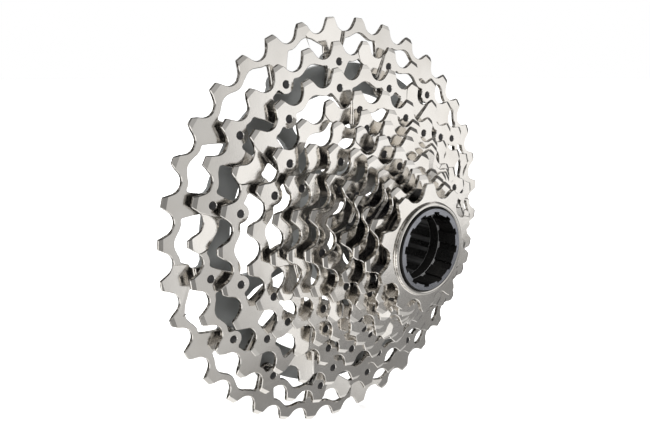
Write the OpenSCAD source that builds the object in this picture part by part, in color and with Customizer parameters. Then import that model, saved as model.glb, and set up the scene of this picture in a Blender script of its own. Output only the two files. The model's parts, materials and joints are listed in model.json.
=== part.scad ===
// Twelve-speed bicycle cassette: pinned steel cogs on an anodised carrier, with a captive lock tube.
// Every module works with the axle line along local +Z, large cog at the bottom, and the wrapper
// on_axle() then lays the axle line along -Y. The origin is on the axle line at the back face of
// the largest cog.

/* [Chain] */
// Distance between neighbouring chain rollers
chain_pitch = 12.7; // [12.6:0.05:12.8]
// Radius of the seat that a roller rests in
seat_r = 3.87; // [3.8:0.01:3.95]

/* [Cogs] */
// Thickness of a cog's plate
cog_t = 1.6; // [1.4:0.05:1.8]
// Distance from one cog to the next
cog_step = 3.6; // [3.5:0.05:3.8]
// Width of a tooth's flat tip
tip_w = 3.1; // [2.6:0.1:3.4]
// Width of the tip of a tooth cut back for shifting
gate_tip_w = 2.2; // [1.8:0.1:2.6]
// Radial width of the two largest cogs' rims below a valley
rim_w = 2.3; // [2:0.1:3]
// Radial width of the 15-tooth cog's rim. The rims between grow evenly to it.
small_rim_w = 5.2; // [3:0.1:5.6]
// How far the rim's inner edge rises behind each tooth
scallop = 2; // [1:0.1:2.1]
// Radial width of the chamfer on the front of each tooth's tip
tip_chamfer_w = 1.4; // [1:0.1:1.6]
// How far that chamfer cuts into the cog's thickness
tip_chamfer_t = 0.6; // [0.4:0.05:0.8]
// Depth of the shift ramps milled into a cog's front face, at the root of the teeth
ramp_depth = 0.45; // [0.3:0.05:0.6]
// Angle at which a shift ramp rises outwards, towards the teeth
ramp_tilt = 4; // [0:0.5:5]
// Angle at which a shift ramp rises sideways, along the rim
ramp_twist = 3; // [0:0.5:4]

/* [Rivet pins] */
// Radius of a pin's shank, which passes through two cogs
pin_r = 1.2; // [1:0.05:1.4]
// Radius of the shoulder that keeps two cogs apart
shoulder_r = 1.8; // [1.6:0.05:2]
// Distance from a cog's root circle in to its pins
pin_inset = 1.8; // [1.6:0.05:2]
// Radius of the round boss about a pin hole
boss_r = 3.1; // [2.9:0.1:3.4]

/* [Carrier] */
// Thickness of the carrier's plate
plate_t = 2.4; // [2:0.1:3]
// Outer radius of the carrier's ring
ring_outer_r = 58.6; // [58:0.1:59]
// Inner radius of the carrier's ring
ring_inner_r = 48.7; // [47:0.1:50]
// Width of a carrier spoke at the ring
spoke_w = 7; // [5:0.5:9]
// Outer radius of the carrier's hub
hub_r = 22.5; // [21.5:0.5:24]
// Height of the carrier's hub in front of the largest cog's back face
hub_front = 7.6; // [7:0.1:9]
// Radius of the plain bore that centres the carrier on the hub's driver
register_r = 18; // [17.9:0.05:18.1]
// Radius over the crests of the driver splines
spline_crest_r = 17.1; // [17:0.05:17.3]
// Radius at the bottom of the driver splines
spline_root_r = 17.7; // [17.6:0.05:17.75]
// Bore radius of the plain lip in front of the splines
lip_r = 16.9; // [16.8:0.02:16.96]

/* [Lock tube] */
// Outer radius of the tube
tube_r = 13.6; // [13.5:0.05:13.8]
// Front end of the tube
tube_front = 42.7; // [42.5:0.1:43]
// Rear end of the tube
tube_rear = 14; // [12:0.5:18]
// Front end of the internal thread
thread_front = 31.3; // [30:0.1:33]
// Bore radius at the crests of the internal thread
thread_r = 12; // [11.9:0.05:12.1]
// Radius over the lands between the tool notches
land_r = 11.4; // [11.2:0.05:11.6]
// Radius at the bottom of the tool notches
notch_r = 12.1; // [11.9:0.05:12.2]
// Length of the tool notches
notch_len = 7.5; // [6:0.5:9]
// Running clearance between the tube and its bearings
running_gap = 0.05; // [0.03:0.01:0.08]

/* [Hidden] */

// One row per cog, largest first.
teeth = [36, 32, 28, 24, 21, 19, 17, 15, 13, 12, 11, 10];
// Angle of each cog's first tooth
turn = [6.2, 7.25, 11.4, 5.8, 10.95, 10.5, 11.25, 16.35, 2.3, 26.9, 22.75, 17.85];
// Height of each cog's tips above its pitch circle
rise = [0.85, 1, 0.95, 0.8, 0.6, 0.7, 0.6, 0.6, 0.6, 0.3, 0.7, 0.55];
// Teeth whose feet carry the pins that join each cog to the next larger one
pin_teeth = [
    [],
    [for (k = [0 : 2 : 30]) k],
    [0, 2, 5, 7, 9, 12, 14, 16, 19, 21, 23, 26],
    [1, 3, 4, 6, 9, 10, 13, 14, 16, 17, 20, 22],
    [0, 2, 5, 8, 10, 13, 15, 18],
    [1, 4, 6, 8, 11, 13, 16],
    [1, 4, 6, 8, 11, 13, 15],
    [0, 3, 5, 8, 10, 13],
    [0, 3, 5, 8, 10],
    [0, 3, 6, 9],
    [1, 4, 7, 9],
    [0, 2, 5, 7]
];
// Number of shift ramps on each cog, and the angle about which the first one's tooth lies
ramp_count = [4, 4, 4, 3, 2, 2, 2, 2, 2, 1, 1, 0];
ramp_at = [98, 86, 62, 107, 25, 103, 45, 165, 60, 150, 30, 0];
// How far each cog's ramps are centred from their tooth, and their width, in teeth
ramp_leads = [for (i = [0 : 11]) i == 0 ? 0.25 : -0.25];
ramp_widths = [for (i = [0 : 11]) i == 0 ? 1.4 : 1];
// The smaller cogs, from this one on, are plates with a plain bore. The last two run on the lock tube.
first_round = 8;
bearing_r = tube_r + running_gap;
bores = [0, 0, 0, 0, 0, 0, 0, 0, 15, 14.2, bearing_r, bearing_r];
// The two smallest cogs have their pins further out, in the feet of the teeth.
pin_insets = [for (i = [0 : 11]) i < 10 ? pin_inset : i == 10 ? 0.4 : -0.3];

// Angles of the plain lugs inside each cog's rim, and how far below the root circle they reach
lug_angles = [[], [148.5], [], [], [], [], [], []];
lug_reach = 9;

seat_half_angle = 62;
seat_steps = 8;
flank_w = 4.6;
flank_drop = 0.8;
// Width of an arm where it leaves the rim, and how far below the root circle it starts
arm_rim_w = 9;
arm_root_depth = 0.6;
arm_steps = 4;
corner_r = 0.8;
// Cut-back teeth, counted in teeth from each ramp
gate_offsets = [-4.5, -3.5, 0.5];
web_depth = 5.6;
// The pins of the last two cogs stop this deep in them, and don't show on their faces.
first_blind = 10;
blind_depth = 1;
head_recess = 0.08;
boss_ring_r = 15.1;
boss_ring_h = 1.1;
boss_ring_chamfer = 0.35;
mouth_chamfer = 0.4;
flange_r = 15;
flange_t = 1.2;
washer_r = 14.9;
washer_t = 0.32;
spoke_count = 5;
spoke_turn = 126;
spoke_fillet = 2;
// Points along a spoke, from inside the hub to inside the ring: radius, and half width in spoke widths
spoke_points = [
    [hub_r - 3, 0.62], [hub_r + 5, 0.44], [ring_inner_r - 6, 0.4], [ring_inner_r + 1, 0.75]
];
// Radius of the pad about each pin in the carrier's ring
pad_r = 2.9;
lip_len = 2.6;
spline_count = 12;
spline_w = 4.2;
register_len = 4;
notch_count = 12;
notch_w = 2.2;
notch_turn = 21.5;
// Chamfer round the front end of the tube
tube_chamfer = 0.4;
// Gap left round parts that are put together loosely
loose = 0.05;
// How far joined shapes run into each other, and how far a cut runs past the face it opens
overlap = 0.2;
past = 1;
fine = 96;
cog_last = len(teeth) - 1;

function pitch_r(n) = chain_pitch / 2 / sin(180 / n);
function root_r(i) = pitch_r(teeth[i]) - seat_r;
function tooth_angle(i, k) = turn[i] + k * 360 / teeth[i];
function back_z(i) = i * cog_step;
function front_z(i) = i * cog_step + cog_t;
function polar(r, a) = [r * cos(a), r * sin(a)];
// A point given by its distance out along the direction a, and its distance to the side
function aside(out, side, a) = [out * cos(a) - side * sin(a), out * sin(a) + side * cos(a)];
// Radial width of a cog's rim below a valley
function rim(i) = rim_w + (small_rim_w - rim_w) * max(i - 1, 0) / (first_round - 2);
function pin_circle(i) = root_r(i) - pin_insets[i];
function nearest_tooth(i, a) = tooth_angle(i, round((a - turn[i]) * teeth[i] / 360));
// Angles of the middles of a cog's ramps
function ramp_angles(i) =
    [for (k = [0 : 1 : ramp_count[i] - 1])
        nearest_tooth(i, ramp_at[i] + k * 360 / ramp_count[i]) + ramp_leads[i] * 360 / teeth[i]];
// A gate is a tooth cut back to let the chain across, some teeth away from a ramp.
function is_gate(i, a) =
    len([for (r = ramp_angles(i), g = gate_offsets)
        if (abs((a - r - g * 360 / teeth[i] + 900) % 360 - 180) < 180 / teeth[i]) r]) > 0;

function tooth_points(i, k) =
    let (a = tooth_angle(i, k), p = pitch_r(teeth[i]), half = (is_gate(i, a) ? gate_tip_w : tip_w) / 2)
    [
        aside(p - flank_drop, -flank_w / 2, a),
        aside(p + rise[i], -half, a),
        aside(p + rise[i], half, a),
        aside(p - flank_drop, flank_w / 2, a)
    ];

function valley_points(i, k) =
    let (a = tooth_angle(i, k + 0.5), c = pitch_r(teeth[i]))
    [for (s = [0 : seat_steps])
        let (f = seat_half_angle * (2 * s / seat_steps - 1))
        aside(c - seat_r * cos(f), seat_r * sin(f), a)];

function cog_outline(i) =
    [for (k = [0 : teeth[i] - 1]) each concat(tooth_points(i, k), valley_points(i, k))];

// The rim's inner edge waves in and out with the teeth.
function rim_edge(i) =
    let (steps = teeth[i] * 8)
    [for (s = [0 : steps - 1])
        let (a = turn[i] + s * 360 / steps)
        polar(root_r(i) - rim(i) + scallop / 2 + scallop / 2 * cos(teeth[i] * (a - turn[i])), a)];

// An arm that leaves the rim at a tooth and narrows to a round end about a pin
module arm(rim_point, pin_point) {
    reach = norm(pin_point - rim_point);
    along = atan2(pin_point[1] - rim_point[1], pin_point[0] - rim_point[0]);
    side = [for (s = [0 : arm_steps])
        let (t = s / arm_steps)
        [reach * t, boss_r + (arm_rim_w / 2 - boss_r) * pow(1 - t, 2)]];
    tip = [for (f = [75 : -15 : -75]) [reach + boss_r * cos(f), boss_r * sin(f)]];
    other = [for (s = [arm_steps : -1 : 0]) [side[s][0], -side[s][1]]];
    translate(rim_point) rotate(along) polygon(concat(side, tip, other));
}

// The web behind a shift ramp: a wider stretch of rim whose inner edge slants back up to the rim
module web(i, a) {
    q = 360 / teeth[i];
    top = [for (s = [7 : -1 : 0]) polar(root_r(i) - 0.3, a + (-0.8 + s * 0.2) * q)];
    polygon(concat(
        top,
        [polar(root_r(i) - web_depth, a - 0.6 * q), polar(root_r(i) - web_depth, a - 0.1 * q)]
    ));
}

// The stretch of face that a shift ramp lowers: a tooth and the valley before it. Its floor rises
// outwards and sideways. Its inner end stays clear of the pins inside it.
module ramp_cut(i, a) {
    q = ramp_widths[i] * 360 / teeth[i];
    root = root_r(i);
    outer = pitch_r(teeth[i]) + rise[i] + 1;
    inner = max(root - web_depth - 1, pin_circle(i + 1) + pin_r + 0.3);
    rotate(a)
        translate([root, 0, cog_t - ramp_depth])
            rotate([ramp_twist, -ramp_tilt, 0])
                translate([-root, 0, 0])
                    linear_extrude(ramp_depth + 2)
                        polygon([
                            polar(outer, -0.55 * q), polar(outer, 0.55 * q), polar(root + 0.4, 0.5 * q),
                            polar(inner, 0.2 * q), polar(inner, -0.42 * q), polar(root - 0.2, -0.5 * q)
                        ]);
}

// The ring of metal taken off the front of the teeth's tips
module tip_cut(i) {
    tip = pitch_r(teeth[i]) + rise[i];
    slope = tip_chamfer_w / tip_chamfer_t;
    rotate_extrude($fn = fine)
        polygon([
            [tip + overlap, cog_t - tip_chamfer_t - overlap / slope],
            [tip + overlap, cog_t + overlap],
            [tip - tip_chamfer_w - overlap * slope, cog_t + overlap]
        ]);
}

// Holes for one set of pins, drilled from the back. A full-depth hole runs out past the front.
module pin_holes(set, depth) {
    for (k = pin_teeth[set])
        translate(polar(pin_circle(set), tooth_angle(set, k)))
            translate([0, 0, -past])
                cylinder(r = pin_r, h = depth < cog_t ? depth + past : cog_t + 2 * past, $fn = 24);
}

// The space inside a larger cog's rim, less the arms that reach in to the pins and the webs behind
// the shift ramps. Its corners are filleted.
module inner_space(i) {
    offset(r = corner_r, $fn = 16)
        offset(delta = -corner_r)
            difference() {
                polygon(rim_edge(i));
                for (k = pin_teeth[i])
                    arm(
                        polar(root_r(i) - arm_root_depth, tooth_angle(i, k)),
                        polar(pin_circle(i), tooth_angle(i, k))
                    );
                for (k = pin_teeth[i + 1])
                    let (a = tooth_angle(i + 1, k))
                    arm(
                        polar(root_r(i) - arm_root_depth, nearest_tooth(i, a)),
                        polar(pin_circle(i + 1), a)
                    );
                for (a = lug_angles[i])
                    arm(
                        polar(root_r(i) - arm_root_depth, a),
                        polar(root_r(i) - lug_reach, a)
                    );
                for (a = ramp_angles(i)) web(i, a);
            }
}

module open_cog_plate(i) {
    linear_extrude(cog_t)
        difference() {
            polygon(cog_outline(i));
            inner_space(i);
        }
}

module round_cog_plate(i) {
    linear_extrude(cog_t)
        difference() {
            polygon(cog_outline(i));
            circle(r = bores[i], $fn = fine);
        }
}

module on_axle(z) {
    rotate([90, 0, 0]) translate([0, 0, z]) children();
}

module cog(i) {
    color([0.8, 0.79, 0.77])
        on_axle(back_z(i))
            difference() {
                if (i < first_round) open_cog_plate(i);
                else round_cog_plate(i);
                pin_holes(i, i < first_blind ? cog_t : blind_depth);
                pin_holes(i + 1, cog_t);
                for (a = ramp_angles(i)) ramp_cut(i, a);
                tip_cut(i);
            }
}

// The smallest cog has a raised ring round its bore, and blind holes for its pins.
module smallest_cog() {
    i = cog_last;
    color([0.8, 0.79, 0.77])
        on_axle(back_z(i))
            difference() {
                union() {
                    linear_extrude(cog_t) polygon(cog_outline(i));
                    translate([0, 0, cog_t - overlap])
                        cylinder(
                            r = boss_ring_r,
                            h = boss_ring_h + overlap - boss_ring_chamfer,
                            $fn = fine
                        );
                    translate([0, 0, cog_t + boss_ring_h - boss_ring_chamfer])
                        cylinder(
                            r1 = boss_ring_r,
                            r2 = boss_ring_r - boss_ring_chamfer,
                            h = boss_ring_chamfer,
                            $fn = fine
                        );
                }
                translate([0, 0, -past])
                    cylinder(r = bores[i], h = cog_t + boss_ring_h + 2 * past, $fn = fine);
                translate([0, 0, cog_t + boss_ring_h - mouth_chamfer])
                    cylinder(
                        r1 = bores[i],
                        r2 = bores[i] + mouth_chamfer + overlap,
                        h = mouth_chamfer + overlap,
                        $fn = fine
                    );
                pin_holes(i, blind_depth);
            }
}

// Shouldered pins between cog i - 1 and cog i. The last two sets end blind in the front cog.
module pin_set(i) {
    rear = (i == 1 ? -plate_t : back_z(i - 1)) + head_recess;
    front = i < first_blind ? front_z(i) - head_recess : back_z(i) + blind_depth;
    color([0.12, 0.12, 0.13])
        on_axle(0)
            for (k = pin_teeth[i])
                translate(polar(pin_circle(i), tooth_angle(i, k)))
                    union() {
                        translate([0, 0, rear]) cylinder(r = pin_r, h = front - rear, $fn = 24);
                        translate([0, 0, front_z(i - 1)])
                            cylinder(r = shoulder_r, h = cog_step - cog_t, $fn = 24);
                    }
}

// A plain spacer ring between cog i - 1 and cog i, inside their pins
module collar(i) {
    inner = bores[i - 1];
    outer = pin_circle(i) - shoulder_r - loose;
    color([0.1, 0.1, 0.11])
        on_axle(front_z(i - 1))
            difference() {
                cylinder(r = outer, h = cog_step - cog_t, $fn = fine);
                translate([0, 0, -past])
                    cylinder(r = inner, h = cog_step - cog_t + 2 * past, $fn = fine);
            }
}

module spoke(a) {
    side = [for (p = spoke_points) [p[0], spoke_w * p[1]]];
    other = [for (k = [len(side) - 1 : -1 : 0]) [side[k][0], -side[k][1]]];
    rotate(a) polygon(concat(side, other));
}

module carrier_plate() {
    offset(r = -spoke_fillet) offset(delta = spoke_fillet) union() {
        difference() {
            circle(r = ring_outer_r, $fn = fine);
            circle(r = ring_inner_r, $fn = fine);
        }
        circle(r = hub_r - past, $fn = fine);
        for (k = [0 : spoke_count - 1]) spoke(spoke_turn + k * 360 / spoke_count);
        for (k = pin_teeth[1])
            translate(polar(pin_circle(1), tooth_angle(1, k))) circle(r = pad_r, $fn = 24);
    }
}

// The carrier's hub centres on a plain bore at the back and takes the drive on splines in front.
module carrier() {
    hub_len = plate_t + hub_front;
    spline_len = hub_len - register_len - lip_len;
    color([0.16, 0.16, 0.17])
        on_axle(-plate_t)
            difference() {
                union() {
                    linear_extrude(plate_t) carrier_plate();
                    cylinder(r = hub_r, h = hub_len, $fn = fine);
                }
                translate([0, 0, -past]) cylinder(r = register_r, h = register_len + past, $fn = fine);
                cylinder(r = spline_crest_r, h = hub_len - lip_len, $fn = fine);
                cylinder(r = lip_r, h = hub_len + past, $fn = fine);
                for (k = [0 : spline_count - 1])
                    rotate(k * 360 / spline_count)
                        translate([spline_crest_r - past, -spline_w / 2, register_len - past])
                            cube([spline_root_r - spline_crest_r + past, spline_w, spline_len + past]);
                for (k = pin_teeth[1])
                    translate(polar(pin_circle(1), tooth_angle(1, k)))
                        translate([0, 0, -past])
                            cylinder(r = pin_r, h = plate_t + 2 * past, $fn = 24);
            }
}

module lock_tube() {
    flange_z = front_z(cog_last - 1) + (cog_step - cog_t - flange_t) / 2;
    color([0.07, 0.07, 0.08])
        on_axle(0)
            difference() {
                union() {
                    translate([0, 0, tube_rear])
                        cylinder(r = tube_r, h = tube_front - tube_chamfer - tube_rear, $fn = fine);
                    translate([0, 0, tube_front - tube_chamfer])
                        cylinder(r1 = tube_r, r2 = tube_r - tube_chamfer, h = tube_chamfer, $fn = fine);
                    translate([0, 0, flange_z]) cylinder(r = flange_r, h = flange_t, $fn = fine);
                }
                translate([0, 0, tube_rear - past])
                    cylinder(r = thread_r, h = thread_front + past - tube_rear, $fn = fine);
                translate([0, 0, tube_rear])
                    cylinder(r = land_r, h = tube_front + past - tube_rear, $fn = fine);
                for (k = [0 : notch_count - 1])
                    rotate(k * 360 / notch_count + notch_turn)
                        translate([land_r - past, -notch_w / 2, tube_front - notch_len])
                            cube([notch_r - land_r + past, notch_w, notch_len + past]);
            }
}

// A thin ring between the lock tube's flange and the cog beside it
module thrust_washer(z) {
    color([0.3, 0.28, 0.24])
        on_axle(z)
            difference() {
                cylinder(r = washer_r, h = washer_t, $fn = fine);
                translate([0, 0, -past])
                    cylinder(r = bearing_r + loose, h = washer_t + 2 * past, $fn = fine);
            }
}

cog(0);  // cog_36t
cog(1);  // cog_32t
cog(2);  // cog_28t
cog(3);  // cog_24t
cog(4);  // cog_21t
cog(5);  // cog_19t
cog(6);  // cog_17t
cog(7);  // cog_15t
cog(8);  // cog_13t
cog(9);  // cog_12t
cog(10);  // cog_11t
smallest_cog();  // cog_10t
pin_set(1);  // pins_36_32
pin_set(2);  // pins_32_28
pin_set(3);  // pins_28_24
pin_set(4);  // pins_24_21
pin_set(5);  // pins_21_19
pin_set(6);  // pins_19_17
pin_set(7);  // pins_17_15
pin_set(8);  // pins_15_13
pin_set(9);  // pins_13_12
pin_set(10);  // pins_12_11
pin_set(11);  // pins_11_10
collar(9);  // collar_13_12
collar(10);  // collar_12_11
carrier();
lock_tube();
thrust_washer(back_z(cog_last) - washer_t);  // front_thrust_washer
thrust_washer(front_z(cog_last - 1));  // rear_thrust_washer
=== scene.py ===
"""Looks for the bicycle cassette: plated steel cogs, blackened pins, anodised carrier and lock tube.

Every CAD node keeps its own mesh. It gets small bevels, clean shading and a procedural material.
"""
import json
import math

import bpy
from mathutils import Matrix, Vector


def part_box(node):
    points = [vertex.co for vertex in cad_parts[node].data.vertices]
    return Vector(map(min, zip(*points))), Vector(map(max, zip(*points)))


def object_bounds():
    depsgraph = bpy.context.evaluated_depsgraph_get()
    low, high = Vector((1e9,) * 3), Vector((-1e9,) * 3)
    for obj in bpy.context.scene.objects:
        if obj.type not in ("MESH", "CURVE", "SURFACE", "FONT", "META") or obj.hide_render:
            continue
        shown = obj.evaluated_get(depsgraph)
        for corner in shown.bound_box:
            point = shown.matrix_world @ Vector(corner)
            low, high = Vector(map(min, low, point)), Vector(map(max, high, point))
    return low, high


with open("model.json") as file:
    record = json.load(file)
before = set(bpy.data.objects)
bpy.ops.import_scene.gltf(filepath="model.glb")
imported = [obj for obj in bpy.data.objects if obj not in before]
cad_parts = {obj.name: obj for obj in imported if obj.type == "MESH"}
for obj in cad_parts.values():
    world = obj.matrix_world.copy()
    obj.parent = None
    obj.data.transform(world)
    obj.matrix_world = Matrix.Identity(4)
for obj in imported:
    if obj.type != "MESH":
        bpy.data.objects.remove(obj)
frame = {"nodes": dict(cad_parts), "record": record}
cad_low, cad_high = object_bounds()

MM = 0.001

# Width of the broken edges, by kind of piece
COG_BEVEL = 0.2 * MM
PIN_BEVEL = 0.14 * MM
CARRIER_BEVEL = 0.3 * MM
TUBE_BEVEL = 0.12 * MM
WASHER_BEVEL = 0.06 * MM
# Segments in them: one makes a flat chamfer, two a rounded edge
CHAMFER = 1
ROUNDED = 2

# Angles that count as an edge to bevel, and as a crease to keep sharp
BEVEL_ANGLE = math.radians(38)
CREASE_ANGLE = math.radians(19)
# Corners closer than this are one, and facets flatter than this are one face
WELD_GAP = 0.001 * MM
FLAT_ANGLE = math.radians(0.5)

# How far behind the lock tube's front face its painted sheen ends, its notches end and its thread starts
SHEEN_DEPTH = 0.05 * MM
NOTCH_DEPTH = 7.5 * MM
THREAD_DEPTH = 11.4 * MM
# Half the width of the painted highlight lines at the last two, how bright they are, and how soft any such
# edge is
GLINT_WIDTH = 0.1 * MM
GLINT_LEVEL = 0.16
GLINT_BLUR = 0.04 * MM
EDGE_BLUR = 0.02 * MM

# Colours along a noise: where each one sits, and the colour
STEEL_STAINS = [(0.3, (0.80, 0.775, 0.735)), (0.55, (0.86, 0.84, 0.81)), (0.75, (0.83, 0.815, 0.79))]
# Side-wall colours: painted shade at the dark end and painted highlights at the bright end, with the sheared
# texture between
WALL_SHEAR_AND_PAINTED_SHADE = [(0.4, (0.1, 0.088, 0.072)), (0.5, (0.42, 0.385, 0.335)), (0.6, (0.95, 0.92, 0.87))]
PIN_OXIDE = [(0.35, (0.008, 0.008, 0.009)), (0.7, (0.03, 0.029, 0.03))]
CARRIER_SKIN = [(0.3, (0.2, 0.207, 0.205)), (0.7, (0.27, 0.277, 0.275))]
COLLAR_SKIN = [(0.3, (0.008, 0.008, 0.01)), (0.7, (0.02, 0.02, 0.024))]
TUBE_SKIN = [(0.3, (0.004, 0.004, 0.004)), (0.7, (0.008, 0.0076, 0.0072))]
# Painted sheen: the lock tube's front face in bright bluish grey
TUBE_PAINTED_SHEEN = [(0.3, (0.26, 0.27, 0.3)), (0.7, (0.34, 0.35, 0.385))]
WASHER_TINT = [(0.3, (0.05, 0.045, 0.04)), (0.7, (0.09, 0.08, 0.07))]
FLOOR_TINT = [(0.3, (0.92, 0.92, 0.92)), (0.7, (0.94, 0.94, 0.935))]

# Camera: place and aim in the row frame, lens and sensor in millimetres, clipping in metres
CAMERA_PLACE = Vector((-0.150741, -0.17735, 0.054876))
CAMERA_AIM = Vector((0.60848, 0.76365, -0.21583))
CAMERA_LENS = 35.96
SENSOR_WIDTH = 36.0
CLIP_START = 0.01
CLIP_END = 50

# The floor reaches this far each way from the origin, this much below the cogs
FLOOR_REACH = 12.0
FLOOR_GAP = 0.5 * MM

# Lamps: two square ones, placed from the part's middle, and an even sun
LAMP_SIZE = 0.6
KEY_OFFSET = Vector((-0.35, -0.55, 0.75))
KEY_POWER = 12
REAR_OFFSET = Vector((0.3, 0.8, 0.6))
REAR_POWER = 5
SUN_STRENGTH = 4.6
SUN_SPREAD = math.radians(100)

# Colour of what the metal mirrors, and of what the camera sees behind the part
STUDIO_COLOUR = (1, 0.985, 0.965, 1)
BACKDROP_COLOUR = (1, 1, 1, 1)

# Brightness of each part of the studio
LEFT_GLOW = 1.2
LEFT_FAR = 0.2
LEFT_MIDDLE = 0.25
LEFT_NEAR = 0.58
RIGHT_LOW = 1.06
RIGHT_HIGH = 0.8
TABLE_EDGE = 0.255
TABLE = 0.55
STRAIGHT_BELOW = 1.0
OVERHEAD_LEFT = 0.42
OVERHEAD_RIGHT = 0.78
OVERHEAD_TOP = 0.06
BEHIND_DARK = 0.05
BEHIND_BRIGHT = 0.8
BEHIND_RIGHT = 0.1
FAR_RIGHT = 0.12
# The table edge's slant: it rises this much for each step to the right
TABLE_RISE = 0.678


# ---------------------------------------------------------------- node helpers


class Nodes:
    """A short way to lay down shader nodes and link them."""

    def __init__(self, tree):
        self.tree = tree
        tree.nodes.clear()

    def add(self, kind, inputs=None, **settings):
        node = self.tree.nodes.new(kind)
        for name, value in settings.items():
            setattr(node, name, value)
        for name, value in (inputs or {}).items():
            self.feed(node, name, value)
        return node

    def feed(self, node, name, value):
        socket = node.inputs[name]
        if isinstance(value, bpy.types.NodeSocket):
            self.tree.links.new(value, socket)
        else:
            socket.default_value = value

    def ramp(self, factor, stops):
        node = self.add("ShaderNodeValToRGB", {"Fac": factor})
        elements = node.color_ramp.elements
        while len(elements) < len(stops):
            elements.new(0.5)
        for element, (place, colour) in zip(elements, stops):
            element.position = place
            element.color = (*colour, 1)
        return node.outputs["Color"]

    def spread(self, factor, low, high, from_low=0.3, from_high=0.7):
        """A noise factor, stretched from its usual span onto low..high."""
        node = self.add(
            "ShaderNodeMapRange",
            {"Value": factor, "From Min": from_low, "From Max": from_high, "To Min": low, "To Max": high},
        )
        return node.outputs["Result"]

    def step(self, value, edge, width):
        """A smooth step from 0 to 1 about an edge."""
        node = self.add(
            "ShaderNodeMapRange",
            {"Value": value, "From Min": edge - width, "From Max": edge + width},
            interpolation_type="SMOOTHSTEP",
        )
        return node.outputs["Result"]

    def calculate(self, operation, *values):
        return self.add("ShaderNodeMath", dict(enumerate(values)), operation=operation).outputs["Value"]

    def mix(self, low, high, factor):
        """A number between low, where the factor is 0, and high, where it is 1."""
        return self.add("ShaderNodeMix", {0: factor, 2: low, 3: high}).outputs[0]

    def blend(self, low, high, factor):
        """The same for colours. The node's colour sockets are 6, 7 and, going out, 2."""
        return self.add("ShaderNodeMix", {0: factor, 6: low, 7: high}, data_type="RGBA").outputs[2]

    def noise(self, vector, scale, detail=3.0, roughness=0.55):
        node = self.add(
            "ShaderNodeTexNoise",
            {"Vector": vector, "Scale": scale, "Detail": detail, "Roughness": roughness},
        )
        return node.outputs["Fac"]

    def bump(self, height, strength, distance, normal=None):
        inputs = {"Height": height, "Strength": strength, "Distance": distance}
        if normal is not None:
            inputs["Normal"] = normal
        return self.add("ShaderNodeBump", inputs).outputs["Normal"]


def new_material(name):
    """A material with its shader, and the place on the piece that its patterns follow."""
    material = bpy.data.materials.new(name)
    material.use_nodes = True
    nodes = Nodes(material.node_tree)
    shader = nodes.add("ShaderNodeBsdfPrincipled")
    nodes.add("ShaderNodeOutputMaterial", {"Surface": shader.outputs["BSDF"]})
    place = nodes.add("ShaderNodeTexCoord").outputs["Object"]
    return material, nodes, shader, place


def stretched_noise(nodes, place, across, along, detail, roughness=0.55):
    """A noise with one scale across the axle line and another along it."""
    mapping = nodes.add("ShaderNodeMapping", {"Vector": place, "Scale": (across, along, across)})
    return nodes.noise(mapping.outputs["Vector"], scale=1, detail=detail, roughness=roughness)


# ---------------------------------------------------------------- materials


def plated_steel():
    """Nickel-plated pressed steel: bright flat faces with a fine tumbled grain and faint stains.

    The side walls, which the press sheared, are rougher and have short marks across the thickness. Their
    colour, dark brown to near white, is partly those marks and partly painted shade and painted highlights.
    """
    material, nodes, shader, place = new_material("plated_steel")
    facing = nodes.add("ShaderNodeTexCoord").outputs["Normal"]
    along_axle = nodes.add("ShaderNodeSeparateXYZ", {"Vector": facing}).outputs["Y"]
    flatness = nodes.calculate("ABSOLUTE", along_axle)
    wall = nodes.mix(1.0, 0.0, nodes.step(flatness, edge=0.35, width=0.2))
    shear_and_shade = stretched_noise(nodes, place, across=900, along=170, detail=4, roughness=0.7)
    tint = nodes.ramp(nodes.noise(place, scale=55, detail=4), STEEL_STAINS)
    # The side walls' colour mixes painted shade and painted highlights with the sheared texture
    colour = nodes.blend(tint, nodes.ramp(shear_and_shade, WALL_SHEAR_AND_PAINTED_SHADE), wall)
    grain = nodes.noise(place, scale=2600, detail=2)
    patches = nodes.spread(nodes.noise(place, scale=140), low=0.0, high=0.05)
    polish = nodes.spread(grain, low=0.09, high=0.14)
    normal = nodes.bump(grain, strength=0.25, distance=0.03 * MM)
    ripple = nodes.noise(place, scale=210, detail=1)
    normal = nodes.bump(ripple, strength=0.12, distance=0.12 * MM, normal=normal)
    wall_shear = nodes.calculate("MULTIPLY", shear_and_shade, wall)
    normal = nodes.bump(wall_shear, strength=0.9, distance=0.25 * MM, normal=normal)
    nodes.feed(shader, "Base Color", colour)
    nodes.feed(shader, "Metallic", 1.0)
    nodes.feed(shader, "Roughness", nodes.calculate("ADD", polish, patches))
    nodes.feed(shader, "Normal", normal)
    return material


def blackened_steel():
    """Pin heads: black oxide with a little wear."""
    material, nodes, shader, place = new_material("blackened_steel")
    wear = nodes.noise(place, scale=900, detail=4)
    nodes.feed(shader, "Base Color", nodes.ramp(wear, PIN_OXIDE))
    nodes.feed(shader, "Metallic", 0.3)
    nodes.feed(shader, "Roughness", nodes.spread(wear, low=0.35, high=0.55))
    nodes.feed(shader, "Normal", nodes.bump(wear, strength=0.25, distance=0.05 * MM))
    return material


def blasted_anodise():
    """The carrier: bead-blasted aluminium with a dark grey anodised skin."""
    material, nodes, shader, place = new_material("blasted_anodise")
    cloud = nodes.noise(place, scale=35, detail=4)
    grain = nodes.noise(place, scale=5200, detail=2)
    nodes.feed(shader, "Base Color", nodes.ramp(cloud, CARRIER_SKIN))
    nodes.feed(shader, "Metallic", 0.5)
    nodes.feed(shader, "Roughness", nodes.spread(grain, low=0.42, high=0.6))
    nodes.feed(shader, "Normal", nodes.bump(grain, strength=0.35, distance=0.03 * MM))
    return material


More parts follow.
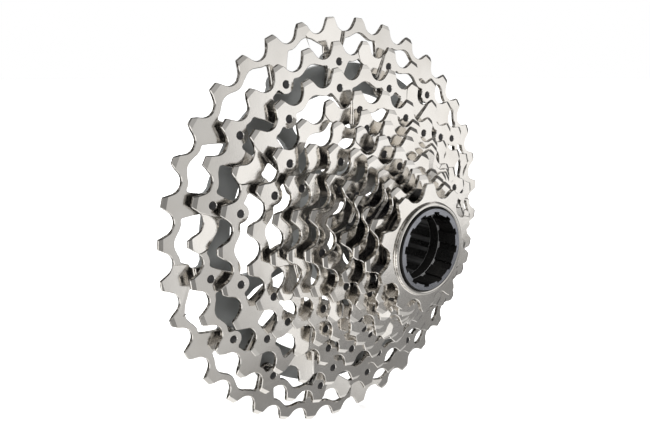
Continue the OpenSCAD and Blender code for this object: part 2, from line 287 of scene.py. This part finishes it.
def collar_finish():
    """Black anodised aluminium, cut on a lathe: faint rings round the axle line and a glossy skin."""
    material, nodes, shader, place = new_material("collar_anodise")
    rings = stretched_noise(nodes, place, across=30, along=6200, detail=3)
    cloud = nodes.noise(place, scale=160)
    nodes.feed(shader, "Base Color", nodes.ramp(cloud, COLLAR_SKIN))
    nodes.feed(shader, "Metallic", 0.25)
    nodes.feed(shader, "Roughness", nodes.spread(cloud, low=0.14, high=0.26))
    nodes.feed(shader, "Normal", nodes.bump(rings, strength=0.15, distance=0.02 * MM))
    return material


def lock_tube_finish():
    """The lock tube: black and glossy inside, with a front face painted bright bluish grey, a painted sheen
    for the light its black gloss mirrors.

    Inside, the stretch behind the thread's start has faint streaks along the axle line, and thin painted
    highlights lie on the edges where the notches end and the thread starts.
    """
    material, nodes, shader, place = new_material("tube_anodise")
    depth = nodes.add("ShaderNodeSeparateXYZ", {"Vector": place}).outputs["Y"]
    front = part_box("lock_tube")[0].y
    # Front face mask for the painted sheen, which also makes that face metallic and glossy
    painted_sheen_face = nodes.mix(1.0, 0.0, nodes.step(depth, edge=front + SHEEN_DEPTH, width=EDGE_BLUR))
    thread = nodes.step(depth, edge=front + THREAD_DEPTH, width=EDGE_BLUR)
    cloud = nodes.noise(place, scale=160)
    rings = stretched_noise(nodes, place, across=30, along=1900, detail=4)
    streaks = stretched_noise(nodes, place, across=420, along=12, detail=2)
    streaks = nodes.spread(streaks, low=0.0, high=0.05, from_low=0.45, from_high=0.6)
    marks = nodes.calculate("MULTIPLY", streaks, thread)
    # Painted highlight lines on the edges where the notches end and the thread starts
    for edge in (front + NOTCH_DEPTH, front + THREAD_DEPTH - GLINT_WIDTH):
        glint_line = nodes.step(depth, edge=edge - GLINT_WIDTH, width=GLINT_BLUR)
        glint_line = nodes.mix(glint_line, 0.0, nodes.step(depth, edge=edge + GLINT_WIDTH, width=GLINT_BLUR))
        marks = nodes.calculate("MULTIPLY_ADD", glint_line, GLINT_LEVEL, marks)
    black = nodes.add("ShaderNodeVectorMath", {0: nodes.ramp(cloud, TUBE_SKIN), 1: marks}, operation="ADD")
    # The painted sheen colour of the front face
    bright = nodes.ramp(cloud, TUBE_PAINTED_SHEEN)
    gloss = nodes.spread(cloud, low=0.1, high=0.18)
    nodes.feed(shader, "Base Color", nodes.blend(black.outputs["Vector"], bright, painted_sheen_face))
    nodes.feed(shader, "Metallic", nodes.mix(0.1, 0.95, painted_sheen_face))
    nodes.feed(shader, "Roughness", nodes.mix(gloss, 0.2, painted_sheen_face))
    nodes.feed(shader, "Specular IOR Level", 0.15)
    nodes.feed(shader, "Normal", nodes.bump(rings, strength=0.5, distance=0.06 * MM))
    return material


def bearing_plastic():
    """The thrust washers: dull dark plastic."""
    material, nodes, shader, place = new_material("bearing_plastic")
    cloud = nodes.noise(place, scale=700, detail=4)
    nodes.feed(shader, "Base Color", nodes.ramp(cloud, WASHER_TINT))
    nodes.feed(shader, "Roughness", nodes.spread(cloud, low=0.45, high=0.65))
    nodes.feed(shader, "Normal", nodes.bump(cloud, strength=0.2, distance=0.03 * MM))
    return material


def pale_floor():
    material, nodes, shader, place = new_material("pale_floor")
    cloud = nodes.noise(place, scale=3, detail=2)
    nodes.feed(shader, "Base Color", nodes.ramp(cloud, FLOOR_TINT))
    nodes.feed(shader, "Roughness", 0.9)
    nodes.feed(shader, "Specular IOR Level", 0.1)
    return material


# ---------------------------------------------------------------- edges and shading


def crease_group():
    """Geometry nodes that shade a mesh smooth except across its sharp edges."""
    tree = bpy.data.node_groups.new("smooth_but_creased", "GeometryNodeTree")
    tree.interface.new_socket("Geometry", in_out="INPUT", socket_type="NodeSocketGeometry")
    tree.interface.new_socket("Geometry", in_out="OUTPUT", socket_type="NodeSocketGeometry")
    nodes = Nodes(tree)
    entry = nodes.add("NodeGroupInput")
    plain = nodes.add("GeometryNodeRemoveAttribute", {"Geometry": entry.outputs[0], "Name": "custom_normal"})
    smooth = nodes.add("GeometryNodeSetShadeSmooth", {"Geometry": plain.outputs[0]}, domain="FACE")
    angle = nodes.add("GeometryNodeInputMeshEdgeAngle").outputs["Unsigned Angle"]
    sharp = nodes.add("FunctionNodeCompare", {0: angle, 1: CREASE_ANGLE}, operation="GREATER_THAN")
    creased = nodes.add(
        "GeometryNodeSetShadeSmooth",
        {"Geometry": smooth.outputs[0], "Selection": sharp.outputs[0], "Shade Smooth": False},
        domain="EDGE",
    )
    nodes.add("NodeGroupOutput", {0: creased.outputs[0]})
    return tree


def soften_edges(node, bevel, segments, creases):
    """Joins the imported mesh's split corners, breaks its edges and keeps its flat faces flat."""
    weld = node.modifiers.new("weld", "WELD")
    weld.merge_threshold = WELD_GAP
    flat = node.modifiers.new("flat_faces", "DECIMATE")
    flat.decimate_type = "DISSOLVE"
    flat.angle_limit = FLAT_ANGLE
    edge = node.modifiers.new("edge", "BEVEL")
    edge.width = bevel
    edge.segments = segments
    edge.limit_method = "ANGLE"
    edge.angle_limit = BEVEL_ANGLE
    # A chamfer keeps its full width. A rounded edge narrows where there's no room for it.
    edge.use_clamp_overlap = segments > CHAMFER
    shade = node.modifiers.new("creases", "NODES")
    shade.node_group = creases
    weighted = node.modifiers.new("flat_normals", "WEIGHTED_NORMAL")
    weighted.keep_sharp = True


def finish_nodes():
    """Gives each CAD node the look of its material slot."""
    creases = crease_group()
    looks = {
        "cog_steel": (plated_steel(), COG_BEVEL, CHAMFER),
        "pin_steel": (blackened_steel(), PIN_BEVEL, ROUNDED),
        "carrier_grey": (blasted_anodise(), CARRIER_BEVEL, ROUNDED),
        "collar_black": (collar_finish(), TUBE_BEVEL, ROUNDED),
        "tube_black": (lock_tube_finish(), TUBE_BEVEL, CHAMFER),
        "washer": (bearing_plastic(), WASHER_BEVEL, CHAMFER),
    }
    for part in frame["record"]["subparts"]:
        node = frame["nodes"][part["node"]]
        material, bevel, segments = looks[part["material_slot"]]
        node.data.materials.clear()
        node.data.materials.append(material)
        soften_edges(node, bevel, segments, creases)


# ---------------------------------------------------------------- studio


def add_object(name, data):
    made = bpy.data.objects.new(name, data)
    bpy.context.scene.collection.objects.link(made)
    return made


def aim(made, place, direction):
    """Puts a camera or a lamp at a place and turns it to look along a direction."""
    made.location = place
    made.rotation_mode = "QUATERNION"
    made.rotation_quaternion = direction.to_track_quat("-Z", "Y")


def make_camera():
    data = bpy.data.cameras.new("camera")
    data.sensor_width = SENSOR_WIDTH
    data.lens = CAMERA_LENS
    data.clip_start = CLIP_START
    data.clip_end = CLIP_END
    camera = add_object("camera", data)
    aim(camera, CAMERA_PLACE, CAMERA_AIM)
    bpy.context.scene.camera = camera


def make_floor():
    mesh = bpy.data.meshes.new("floor")
    ground = cad_low.z - FLOOR_GAP
    sides = [(-1, -1), (1, -1), (1, 1), (-1, 1)]
    corners = [(FLOOR_REACH * across, FLOOR_REACH * along, ground) for across, along in sides]
    mesh.from_pydata(corners, [], [(0, 1, 2, 3)])
    mesh.materials.append(pale_floor())
    floor = add_object("floor", mesh)
    floor.visible_glossy = False


def add_lamp(name, offset, power):
    """A square lamp that looks at the part's middle. Its image doesn't show in the metal."""
    data = bpy.data.lights.new(name, "AREA")
    data.size = LAMP_SIZE
    data.energy = power
    lamp = add_object(name, data)
    aim(lamp, (cad_low + cad_high) / 2 + offset, -offset)
    lamp.visible_glossy = False


def add_sun():
    """An even light from overhead that whitens the floor. Its image doesn't show in the metal."""
    data = bpy.data.lights.new("overhead", "SUN")
    data.energy = SUN_STRENGTH
    data.angle = SUN_SPREAD
    sun = add_object("overhead", data)
    sun.visible_glossy = False


def studio_level(nodes):
    """Brightness of the studio by direction, for what the metal reflects.

    In front there is a bright wall to the right and a dim one to the left, with a glow low at its far
    end, and a grey table edge below them, which slants. The table is paler, and white straight below.
    Overhead is dim to the left, bright to the right and dark at the top. The room behind is mottled.
    The far right is dark, which outlines the edges that face that way.
    """
    direction = nodes.add("ShaderNodeTexCoord").outputs["Generated"]
    parts = nodes.add("ShaderNodeSeparateXYZ", {"Vector": direction})
    right, back, up = parts.outputs["X"], parts.outputs["Y"], parts.outputs["Z"]
    slant = nodes.add("ShaderNodeVectorMath", {0: direction, 1: (-TABLE_RISE, 0, 1)}, operation="DOT_PRODUCT")
    left_wall = nodes.mix(LEFT_GLOW, LEFT_FAR, nodes.step(up, edge=-0.1, width=0.04))
    left_wall = nodes.mix(left_wall, LEFT_MIDDLE, nodes.step(right, edge=-0.5, width=0.12))
    left_wall = nodes.mix(left_wall, LEFT_NEAR, nodes.step(right, edge=0.15, width=0.2))
    right_wall = nodes.mix(RIGHT_LOW, RIGHT_HIGH, nodes.step(up, edge=0.02, width=0.06))
    walls = nodes.mix(left_wall, right_wall, nodes.step(right, edge=0.525, width=0.03))
    front = nodes.mix(TABLE_EDGE, walls, nodes.step(slant.outputs["Value"], edge=-0.745, width=0.02))
    overhead = nodes.mix(OVERHEAD_LEFT, OVERHEAD_RIGHT, nodes.step(right, edge=0.36, width=0.12))
    overhead = nodes.mix(overhead, OVERHEAD_TOP, nodes.step(up, edge=0.68, width=0.06))
    front = nodes.mix(front, overhead, nodes.step(up, edge=0.16, width=0.07))
    mottle = nodes.noise(direction, scale=9)
    behind = nodes.spread(mottle, BEHIND_DARK, BEHIND_BRIGHT, from_low=0.46, from_high=0.63)
    behind = nodes.mix(behind, BEHIND_RIGHT, nodes.step(right, edge=0.68, width=0.05))
    room = nodes.mix(front, behind, nodes.step(back, edge=0.3, width=0.15))
    room = nodes.mix(room, FAR_RIGHT, nodes.step(right, edge=0.82, width=0.04))
    below = nodes.mix(STRAIGHT_BELOW, TABLE, nodes.step(up, edge=-0.82, width=0.05))
    return nodes.mix(below, room, nodes.step(up, edge=-0.6, width=0.05))


def light_world():
    world = bpy.data.worlds.new("studio")
    world.use_nodes = True
    bpy.context.scene.world = world
    nodes = Nodes(world.node_tree)
    studio = nodes.add("ShaderNodeBackground", {"Color": STUDIO_COLOUR, "Strength": studio_level(nodes)})
    backdrop = nodes.add("ShaderNodeBackground", {"Color": BACKDROP_COLOUR, "Strength": 1.0})
    seen = nodes.add("ShaderNodeLightPath").outputs["Is Camera Ray"]
    mixed = nodes.add("ShaderNodeMixShader", {0: seen, 1: studio.outputs[0], 2: backdrop.outputs[0]})
    nodes.add("ShaderNodeOutputWorld", {"Surface": mixed.outputs[0]})


def main():
    make_camera()
    finish_nodes()
    make_floor()
    light_world()
    add_lamp("key", KEY_OFFSET, KEY_POWER)
    add_lamp("rear", REAR_OFFSET, REAR_POWER)
    add_sun()
    bpy.context.scene.view_settings.view_transform = "Standard"


main()
